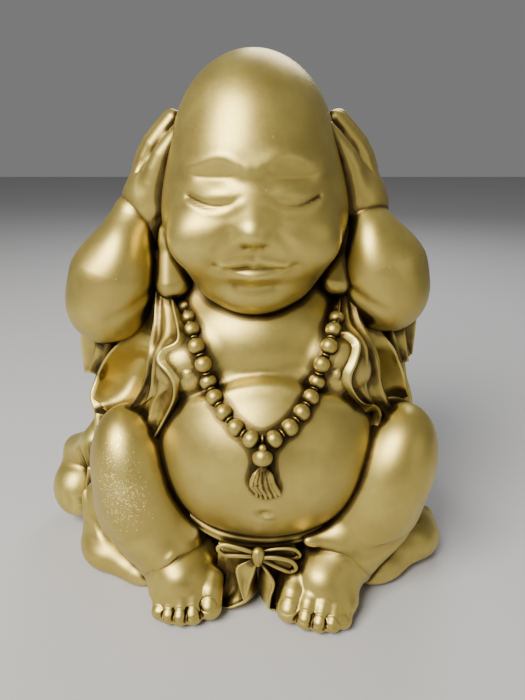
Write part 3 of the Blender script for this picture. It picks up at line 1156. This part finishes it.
# %% [markdown]
# ## Where the dark wash gathers
# Painters of such figures brush a thin brown over the gold and wipe it off, so it stays wherever two
# forms meet. To find those places, all the pieces' surface is poured into a grid of small boxes and
# blurred. A point a little way outside a lone smooth form finds little surface about it; a point
# between two forms finds a lot. That count becomes the `crease` value of every vertex.
# %% Crease value
def blurred(grid, spread):
    """The grid smoothed along each axis in turn with a bell curve, spread cells wide."""
    reach = int(3 * spread)
    weights = np.exp(-0.5 * (np.arange(-reach, reach + 1) / spread) ** 2)
    for axis in range(3):
        padded = np.pad(grid, [(reach, reach) if k == axis else (0, 0) for k in range(3)])
        grid = sum(w * np.take(padded, range(k, k + grid.shape[axis]), axis)
                   for k, w in enumerate(weights / weights.sum()))
    return grid


def mark_creases(pieces, cell=2.0, spread=2.3, outside=3.3):
    """Gives each vertex the blurred surface found outside it, less what a flat form would give."""
    places, ways, areas = [], [], []
    for made in pieces:
        mesh = made.data
        total = read(mesh.polygons, "loop_total", kind=np.int32)
        corner = read(mesh.loops, "vertex_index", kind=np.int32)
        share = np.repeat(1e6 * read(mesh.polygons, "area") / total, total)
        places.append(1000 * read(mesh.vertices, "co", 3))
        ways.append(read(mesh.vertices, "normal", 3))
        areas.append(np.bincount(corner, share, len(mesh.vertices)))
    every = np.vstack(places)
    low = every.min(0) - 12
    size = np.ceil((every.max(0) + 12 - low) / cell).astype(int)
    boxes = [np.arange(n + 1) * cell + at_low for n, at_low in zip(size, low)]
    grid = np.histogramdd(every, boxes, weights=np.concatenate(areas))[0] / cell ** 3
    grid = blurred(grid, spread / cell) * math.sqrt(2 * math.pi) * spread
    flat = math.exp(-0.5 * (outside / spread) ** 2)
    for made, place, way in zip(pieces, places, ways):
        spots = (place + outside * way - low) / cell - 0.5
        base = np.floor(spots).astype(int)
        part = spots - base
        found = 0
        for corner in np.ndindex(2, 2, 2):
            weight = np.prod(np.where(corner, part, 1 - part), axis=1)
            i, j, k = np.clip(base + corner, 0, size - 1).T
            found = found + weight * grid[i, j, k]
        crease = np.clip((found - flat - 0.18) / 0.7, 0, 1)
        mark = made.data.attributes.new("crease", "FLOAT", "POINT")
        mark.data.foreach_set("value", crease.astype(np.float32))
        print("%-18s mean crease %.2f" % (made.name, crease.mean()))


mark_creases([made for made in bpy.data.objects if made.type == "MESH" and "relief" in made.data.attributes])


# %% [markdown]
# ## Underside
# The closing plate is bare cast resin, off-white and a little speckled, and the felt is short black
# fibre. Both are CAD nodes whose shape is right, so they only get their own materials.
# %% Plate and felt
def plain_surface(name, dark, light, scale, rough, height):
    """Two colours stirred by noise, with a matching bump."""
    material, tree, shader = bare_material(name, rough)
    place = node(tree, "ShaderNodeTexCoord").outputs["Object"]
    stir = node(tree, "ShaderNodeTexNoise", Scale=scale, Detail=6.0, Roughness=0.7)
    tree.links.new(place, stir.inputs["Vector"])
    tone = colour_steps(tree, [(0.3, dark), (0.7, light)])
    tree.links.new(stir.outputs["Fac"], tone.inputs["Fac"])
    tree.links.new(tone.outputs["Color"], shader.inputs["Base Color"])
    bump = node(tree, "ShaderNodeBump", Strength=0.5, Distance=height)
    tree.links.new(stir.outputs["Fac"], bump.inputs["Height"])
    tree.links.new(bump.outputs["Normal"], shader.inputs["Normal"])
    return material


resin = plain_surface("bare resin", (0.60, 0.57, 0.50), (0.78, 0.75, 0.69), 260, 0.65, 0.0002)
felt = plain_surface("black felt", (0.012, 0.012, 0.013), (0.05, 0.05, 0.052), 2200, 0.95, 0.0004)
for name, finish in (("base_plate", resin), ("base_felt", felt)):
    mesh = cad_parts[name].data
    mesh.materials.clear()
    mesh.materials.append(finish)
print("materials for", "base_plate and base_felt")


# %% [markdown]
# ## Floor, light and camera
# A figurine like this usually stands on a table near a window: one large soft light from the upper
# left, a weaker one from the right, pale surroundings. The same is done with three area lights and
# a pale world. The camera looks a little down, from about an arm's length away.
# %% Floor
def pale_floor():
    """One large pale plane under the figure, which isn't part of the object."""
    mesh = bpy.data.meshes.new("floor")
    mesh.from_pydata([(-4, -4, 0), (4, -4, 0), (4, 4, 0), (-4, 4, 0)], [], [(0, 1, 2, 3)])
    floor = into_scene("floor", mesh)
    material, _, shader = bare_material("pale floor", 0.7)
    shader.inputs["Base Color"].default_value = (0.46, 0.46, 0.475, 1)
    mesh.materials.append(material)
    floor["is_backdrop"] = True


pale_floor()


# %% Lights
def soft_light(name, place, aim, side, watts, colour):
    """A square area light that faces a point."""
    data = bpy.data.lights.new(name, "AREA")
    data.size, data.energy, data.color = side, watts, colour
    light = into_scene(name, data)
    away = np.array(place, float) - np.array(aim, float)
    flat = math.hypot(away[0], away[1])
    light.location = place
    light.rotation_euler = (math.atan2(flat, away[2]), 0, math.atan2(away[0], -away[1]))
    return light


top = float(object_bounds()[1][2])
soft_light("window", (-0.6, -0.75, 1.0), (0, 0, 0.6 * top), 0.7, 37, (1.0, 0.96, 0.88))
soft_light("fill", (0.9, -0.8, 0.45), (0, 0, 0.5 * top), 0.8, 1.2, (1.0, 0.94, 0.84))
soft_light("rim", (0.2, 0.9, 1.0), (0, 0, 0.6 * top), 0.6, 7, (1.0, 1.0, 1.0))
world = bpy.data.worlds.new("pale room")
bpy.context.scene.world = world
world.use_nodes = True
world.node_tree.nodes["Background"].inputs["Color"].default_value = (0.78, 0.78, 0.79, 1)
world.node_tree.nodes["Background"].inputs["Strength"].default_value = 0.25


# %% Camera
LENS = 29.11  # millimetres, on a frame 36 mm high
TIPPED = 20.2  # degrees down from level


def add_camera():
    """A wide lens, tipped down, a little below the top of the figure's head and close to it."""
    data = bpy.data.cameras.new("camera")
    data.sensor_width, data.lens, data.clip_start = 36, LENS, 0.01
    camera = into_scene("camera", data)
    camera.location = (0, -0.322, 0.241)
    camera.rotation_euler = (math.radians(90 - TIPPED), 0, 0)
    bpy.context.scene.camera = camera
    return camera


add_camera()
